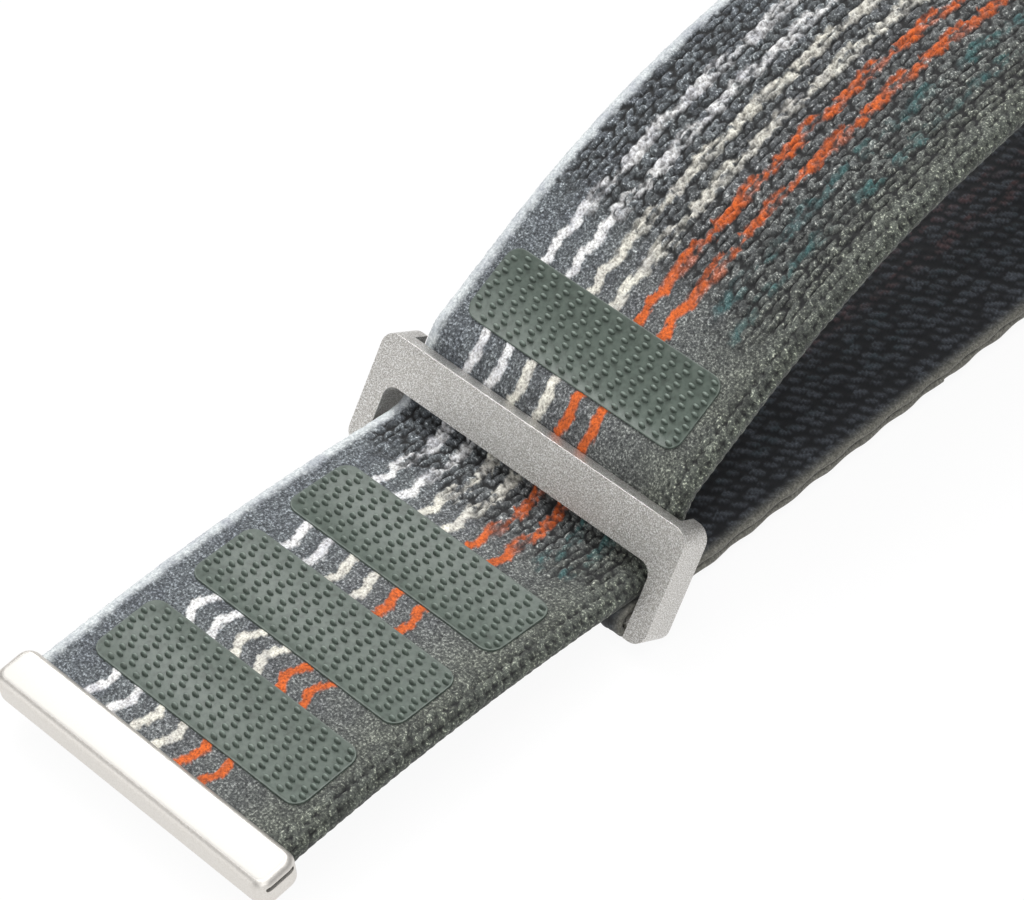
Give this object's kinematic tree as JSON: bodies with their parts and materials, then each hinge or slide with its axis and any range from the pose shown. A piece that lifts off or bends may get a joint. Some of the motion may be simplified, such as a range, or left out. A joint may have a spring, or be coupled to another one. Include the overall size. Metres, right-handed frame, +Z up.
{
  "type": "woven watch strap",
  "caption": "Two-part woven nylon watch strap: hook-and-loop tail folded through a rectangular metal ring, with a metal end bar and spring bars in sewn lug loops.",
  "frame": {"origin": "middle of the strap's footprint on the table, at its lowest point", "axes": "+X across the strap's width, +Y along the strap from the tail's tip towards the watch lugs, +Z up"},
  "size_m": [0.026, 0.1382, 0.0209],
  "materials": {
    "long_webbing": "woven nylon hook-and-loop webbing, heather grey with white, cream and orange stripes",
    "short_webbing": "woven nylon, dark inner face",
    "hook_plastic": "moulded translucent grey-green hook plastic",
    "ring_metal": "bead-blasted steel with a polished edge",
    "end_bar_metal": "satin bright steel",
    "bar_steel": "turned steel",
    "spring_steel": "drawn spring wire",
    "thread": "polyester sewing thread"
  },
  "bodies": {
    "long_at_ring": {"long_ring_length": "long_webbing", "hook_patch_4": "hook_plastic"},
    "tail_near_ring": {"tail_length_3": "long_webbing", "hook_patch_3": "hook_plastic"},
    "tail_middle": {"tail_length_2": "long_webbing", "hook_patch_2": "hook_plastic"},
    "tail_tip": {"tail_length_1": "long_webbing", "hook_patch_1": "hook_plastic", "tail_end_bar": "end_bar_metal"},
    "metal_ring": {"ring": "ring_metal"},
    "short_at_ring": {"short_ring_length": "short_webbing", "short_ring_stitching": "thread"},
    "short_middle": {"short_mid_length": "short_webbing"},
    "short_at_lug": {"short_lug_length": "short_webbing", "short_lug_stitching": "thread"},
    "long_arch": {"long_arch_length": "long_webbing"},
    "long_at_lug": {"long_lug_length": "long_webbing", "long_lug_stitching": "thread"},
    "long_spring_bar": {"long_bar_barrel": "bar_steel", "long_bar_fixed_tip": "bar_steel", "long_bar_spring": "spring_steel"},
    "long_release": {"long_bar_sliding_tip": "bar_steel", "long_bar_release_knob": "bar_steel"},
    "short_spring_bar": {"short_bar_barrel": "bar_steel", "short_bar_fixed_tip": "bar_steel", "short_bar_spring": "spring_steel"},
    "short_release": {"short_bar_sliding_tip": "bar_steel", "short_bar_release_knob": "bar_steel"}
  },
  "joints": [
    {"name": "tail_fold_at_ring", "type": "hinge", "parent": "long_at_ring", "child": "tail_near_ring", "pos_m": [0, -0.04095, 0.00372], "axis": [1, 0, 0], "range_deg": [-90, 20]},
    {"name": "tail_fold_middle", "type": "hinge", "parent": "tail_near_ring", "child": "tail_middle", "pos_m": [0, -0.04894, 0.00412], "axis": [1, 0, 0], "range_deg": [-60, 20]},
    {"name": "tail_fold_tip", "type": "hinge", "parent": "tail_middle", "child": "tail_tip", "pos_m": [0, -0.05694, 0.00406], "axis": [1, 0, 0], "range_deg": [-5, 20]},
    {"name": "long_flex_arch", "type": "hinge", "parent": "long_at_ring", "child": "long_arch", "pos_m": [0, -0.00618, 0.01915], "axis": [1, 0, 0], "range_deg": [-8, 15]},
    {"name": "long_flex_lug", "type": "hinge", "parent": "long_arch", "child": "long_at_lug", "pos_m": [0, 0.03301, 0.01106], "axis": [1, 0, 0], "range_deg": [-12, 20]},
    {"name": "ring_tilt", "type": "hinge", "parent": "long_at_ring", "child": "metal_ring", "pos_m": [0, -0.03434, 0.00634], "axis": [1, 0, 0], "range_deg": [-2, 6]},
    {"name": "short_turn_on_ring", "type": "hinge", "parent": "metal_ring", "child": "short_at_ring", "pos_m": [0, -0.03725, 0.0013], "axis": [1, 0, 0], "range_deg": [-45, 5]},
    {"name": "short_flex_ring", "type": "hinge", "parent": "short_at_ring", "child": "short_middle", "pos_m": [0, -0.02225, 0.00136], "axis": [1, 0, 0], "range_deg": [-25, 3]},
    {"name": "short_flex_lug", "type": "hinge", "parent": "short_middle", "child": "short_at_lug", "pos_m": [0, 0.00675, 0.00148], "axis": [1, 0, 0], "range_deg": [-25, 3]},
    {"name": "long_bar_turn", "type": "hinge", "parent": "long_at_lug", "child": "long_spring_bar", "pos_m": [0, 0.06676, 0.00235], "axis": [1, 0, 0], "range_deg": [-10, 10]},
    {"name": "short_bar_turn", "type": "hinge", "parent": "short_at_lug", "child": "short_spring_bar", "pos_m": [0, 0.02275, 0.00155], "axis": [1, 0, 0], "range_deg": [-10, 10]},
    {"name": "long_bar_release", "type": "slide", "parent": "long_spring_bar", "child": "long_release", "axis": [-1, 0, 0], "range_m": [0, 0.0013], "stiffness_N_per_m": 300, "springref_m": -0.001, "deforming": ["long_bar_spring"]},
    {"name": "short_bar_release", "type": "slide", "parent": "short_spring_bar", "child": "short_release", "axis": [-1, 0, 0], "range_m": [0, 0.0013], "stiffness_N_per_m": 300, "springref_m": -0.001, "deforming": ["short_bar_spring"]}
  ]
}
